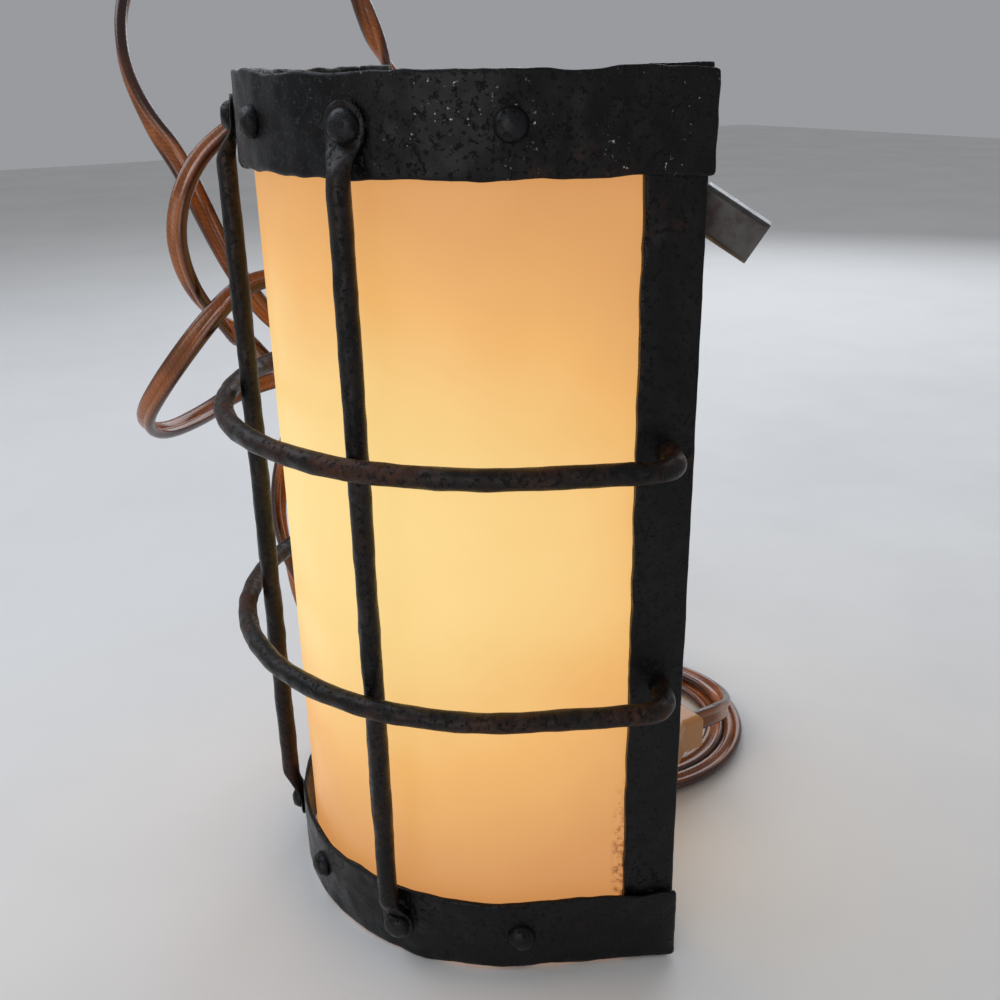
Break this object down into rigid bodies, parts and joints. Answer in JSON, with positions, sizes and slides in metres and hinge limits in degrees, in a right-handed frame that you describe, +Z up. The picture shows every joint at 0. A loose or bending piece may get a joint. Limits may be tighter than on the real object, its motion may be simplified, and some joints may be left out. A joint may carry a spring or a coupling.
{
  "type": "wall lantern",
  "caption": "Half-round wall lantern: a riveted forged-iron cage round a curved opal diffuser, with a hanging lamp and a flat twin cord.",
  "frame": {"origin": "middle of the foot of the lantern, halfway between its foremost hoop and its rearmost connector, at the underside of the bottom band", "axes": "+Z up, the half-round front looks along -Y, the open back faces +Y, X = 0 is the plane of symmetry of the cage"},
  "size_m": [0.2351, 0.2098, 0.3069],
  "materials": {
    "forged_bands": "hand-forged, blackened and waxed, hammered edges",
    "forged_bars": "hand-forged bar, dark scale with rust at the bends",
    "forged_rivets": "dome heads, blackened and waxed",
    "iron_fittings": "blackened flat iron",
    "opal_sheet": "opal, satin, lit from inside",
    "zinc_steel": "zinc plated",
    "holder_shell_black": "moulded phenolic",
    "contact_base_white": "ceramic",
    "contact_brass": "bright",
    "bulb_cap_aluminium": "rolled",
    "bulb_frosted_glass": "frosted",
    "bulb_stem": "clear stem with a filament",
    "lead_insulation": "fine wire insulation",
    "cord_amber": "translucent copper-brown vinyl",
    "connector_clear": "clear moulded",
    "connector_insert": "moulded",
    "bushing_rubber": "moulded strain relief",
    "tie_black": "flat tie",
    "plug_vinyl": "moulded vinyl"
  },
  "bodies": {
    "root": {"bottom_band": "forged_bands", "bottom_band_rivets": "forged_rivets", "bracket_nuts": "zinc_steel", "bracket_screws": "zinc_steel", "centre_contact": "contact_brass", "coil_ties": "tie_black", "connector_housings": "connector_clear", "connector_inserts": "connector_insert", "connector_strips": "contact_brass", "contact_base": "contact_base_white", "cord_bushing": "bushing_rubber", "cord_coil": "cord_amber", "cord_end": "cord_amber", "cord_tails": "cord_amber", "diffuser_guides": "iron_fittings", "diffuser_ledges": "iron_fittings", "flat_cord": "cord_amber", "holder_cap": "holder_shell_black", "holder_leads": "lead_insulation", "holder_shell": "holder_shell_black", "lamp_bracket": "zinc_steel", "left_guard_rod": "forged_bars", "left_stile": "forged_bands", "lower_cross_strap": "iron_fittings", "lower_hoop": "forged_bars", "nipple_locknut": "zinc_steel", "plug_blades": "contact_brass", "plug_body": "plug_vinyl", "right_guard_rod": "forged_bars", "right_stile": "forged_bands", "rod_rivets": "forged_rivets", "screw_shell": "contact_brass", "terminal_screws": "contact_brass", "threaded_nipple": "zinc_steel", "top_band": "forged_bands", "top_band_rivets": "forged_rivets", "upper_cross_strap": "iron_fittings", "upper_hoop": "forged_bars"},
    "diffuser": {"opal_diffuser": "opal_sheet"},
    "bulb_lift": {"bulb_tip": "contact_brass"},
    "bulb": {"bulb_glass": "bulb_frosted_glass", "bulb_cap": "bulb_cap_aluminium", "bulb_filament": "bulb_stem"}
  },
  "joints": [
    {"name": "diffuser_lift", "type": "slide", "parent": "root", "child": "diffuser", "axis": [0, 0, 1], "range_m": [0, 0.24]},
    {"name": "bulb_travel", "type": "slide", "parent": "root", "child": "bulb_lift", "axis": [0, 0, -1], "range_m": [0, 0.0182]},
    {"name": "bulb_turn", "type": "hinge", "parent": "bulb_lift", "child": "bulb", "pos_m": [0, -0.00009, 0.209], "axis": [0, 0, -1], "range_deg": [0, 1800]}
  ],
  "couplings": [
    {"joint": "bulb_travel", "follows": "bulb_turn", "m_per_rad": 0.00057773}
  ]
}
